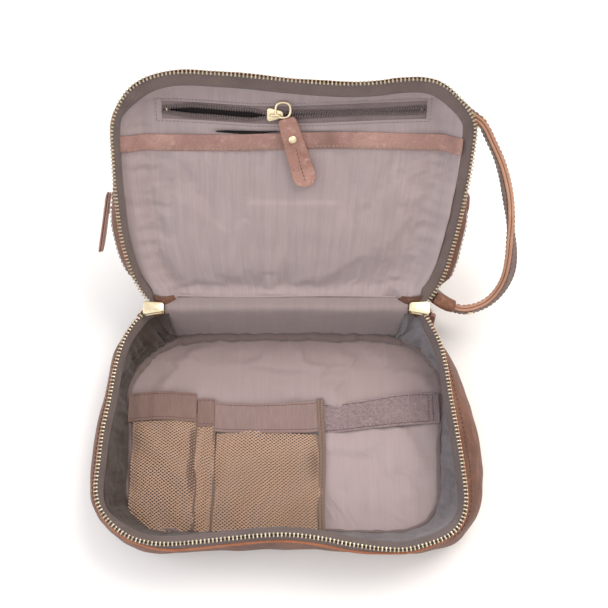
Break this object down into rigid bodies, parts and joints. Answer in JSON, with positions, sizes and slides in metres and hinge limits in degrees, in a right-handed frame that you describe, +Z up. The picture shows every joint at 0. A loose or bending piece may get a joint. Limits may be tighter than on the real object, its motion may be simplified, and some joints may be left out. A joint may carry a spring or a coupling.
{
  "type": "hanging toiletry bag",
  "caption": "Open clamshell leather toiletry bag with a zipped lid, a net and elastic organiser in the tray, a zipped inner pocket, leather pulls and a side hanging strap.",
  "frame": {"origin": "centre of the base underside, where the bag rests", "axes": "+X to the right of someone facing the open bag, -Y towards them (the tray front), +Z up; the lid stands open at the back (+Y)"},
  "size_m": [0.2991, 0.3103, 0.1816],
  "materials": {
    "leather": "oiled brown leather, scuffed lighter at folds",
    "leather_edge": "raw tan cut edge of the leather",
    "lining": "taupe polyester lining with a fine woven streak",
    "base_board": "plastic stiffener",
    "lid_board": "thin fibreboard stiffener",
    "binding": "woven seam binding",
    "tape": "dark brown twill zip tape",
    "pocket_bag": "dark pocket cloth",
    "coil": "dark nylon coil",
    "net": "tan brown diamond net",
    "elastic": "ribbed elastic",
    "loop_pile": "brushed loop pile",
    "thread": "dark red sewing thread",
    "brass": "aged brass"
  },
  "bodies": {
    "tray": {"base_panel": "leather", "base_board": "base_board", "tray_gusset": "leather", "tray_rim_piping": "leather_edge", "tray_spine": "leather", "tray_floor_lining": "lining", "tray_wall_lining": "lining", "tray_spine_lining": "lining", "tray_floor_binding": "binding", "tray_zip_tape": "tape", "tray_zip_teeth": "brass", "zip_bottom_stops": "brass", "mesh_pocket_left": "net", "mesh_pocket_pen": "net", "mesh_pocket_centre": "net", "mesh_edge_tape": "binding", "elastic_left": "elastic", "elastic_pen": "elastic", "elastic_centre": "elastic", "loop_band_right": "loop_pile", "loop_band_stitching": "thread"},
    "lid": {"lid_panel": "leather", "lid_board": "lid_board", "lid_gusset": "leather", "lid_rim_piping": "leather_edge", "lid_spine": "leather", "lid_lining": "lining", "lid_gusset_lining": "lining", "lid_spine_lining": "lining", "slip_pocket_panel": "lining", "slip_pocket_trim": "leather", "inner_pocket_bag": "pocket_bag", "inner_zip_tape": "tape", "inner_zip_coil": "coil", "inner_zip_stops": "brass", "lid_zip_tape": "tape", "lid_zip_teeth": "brass", "outer_zip_tape": "tape", "outer_zip_teeth": "brass", "outer_zip_tab": "leather", "strap_anchor_front": "leather", "strap_anchor_rear": "leather"},
    "inner_slider": {"inner_slider": "brass"},
    "inner_ring": {"inner_pull_ring": "brass"},
    "inner_pull": {"inner_pull_tab": "leather", "inner_pull_rivet": "brass"},
    "outer_slider": {"outer_slider": "brass"},
    "outer_pull": {"outer_pull_ring": "brass", "outer_pull_tab": "leather", "outer_pull_rivet": "brass"},
    "strap": {"hanging_strap": "leather", "strap_rivets": "brass"},
    "main_slider_left": {"main_slider_left": "brass"},
    "main_pull_left": {"main_pull_ring_left": "brass", "main_pull_tab_left": "leather", "main_pull_rivet_left": "brass"},
    "main_slider_right": {"main_slider_right": "brass"},
    "main_pull_right": {"main_pull_ring_right": "brass", "main_pull_tab_right": "leather", "main_pull_rivet_right": "brass"}
  },
  "joints": [
    {"name": "lid_hinge", "type": "hinge", "parent": "tray", "child": "lid", "pos_m": [0, 0.0886, 0.046], "axis": [-1, 0, 0], "range_deg": [-130, 50], "stiffness_Nm_per_rad": 0.6, "springref_deg": -11.46},
    {"name": "inner_zip_slide", "type": "slide", "parent": "lid", "child": "inner_slider", "axis": [1, 0, 0], "range_m": [-0.068, 0.095]},
    {"name": "inner_ring_swing", "type": "hinge", "parent": "inner_slider", "child": "inner_ring", "pos_m": [-0.0066, 0.19207, 0.15002], "axis": [0, -0.6428, -0.766], "range_deg": [0, 90]},
    {"name": "inner_pull_lift", "type": "hinge", "parent": "inner_ring", "child": "inner_pull", "pos_m": [-0.0006, 0.18886, 0.14619], "axis": [-1, 0, 0], "range_deg": [0, 80]},
    {"name": "outer_zip_slide", "type": "slide", "parent": "lid", "child": "outer_slider", "axis": [1, 0, 0], "range_m": [0, 0.222]},
    {"name": "outer_pull_swing", "type": "hinge", "parent": "outer_slider", "child": "outer_pull", "pos_m": [-0.123, 0.15593, 0.0861], "axis": [0, -0.6428, -0.766], "range_deg": [0, 100], "stiffness_Nm_per_rad": 0.004, "springref_deg": -2.29},
    {"name": "strap_swing", "type": "hinge", "parent": "lid", "child": "strap", "pos_m": [0.1265, 0.1039, 0.04556], "axis": [0.0505, 0.642, 0.7651], "range_deg": [-8, 45], "stiffness_Nm_per_rad": 0.08, "springref_deg": -1.26},
    {"name": "main_slider_left_run", "type": "hinge", "parent": "tray", "child": "main_slider_left", "pos_m": [-0.089, 0.048, 0.044], "axis": [0, 0, 1], "range_deg": [0, 64]},
    {"name": "main_pull_left_swing", "type": "hinge", "parent": "main_slider_left", "child": "main_pull_left", "pos_m": [-0.1023, 0.08783, 0.042], "axis": [-0.225, 0.9744, 0], "range_deg": [0, 40]},
    {"name": "main_slider_right_run", "type": "hinge", "parent": "tray", "child": "main_slider_right", "pos_m": [0.089, 0.048, 0.044], "axis": [0, 0, -1], "range_deg": [0, 64]},
    {"name": "main_pull_right_swing", "type": "hinge", "parent": "main_slider_right", "child": "main_pull_right", "pos_m": [0.1023, 0.08783, 0.042], "axis": [-0.225, -0.9744, 0], "range_deg": [0, 40]}
  ]
}
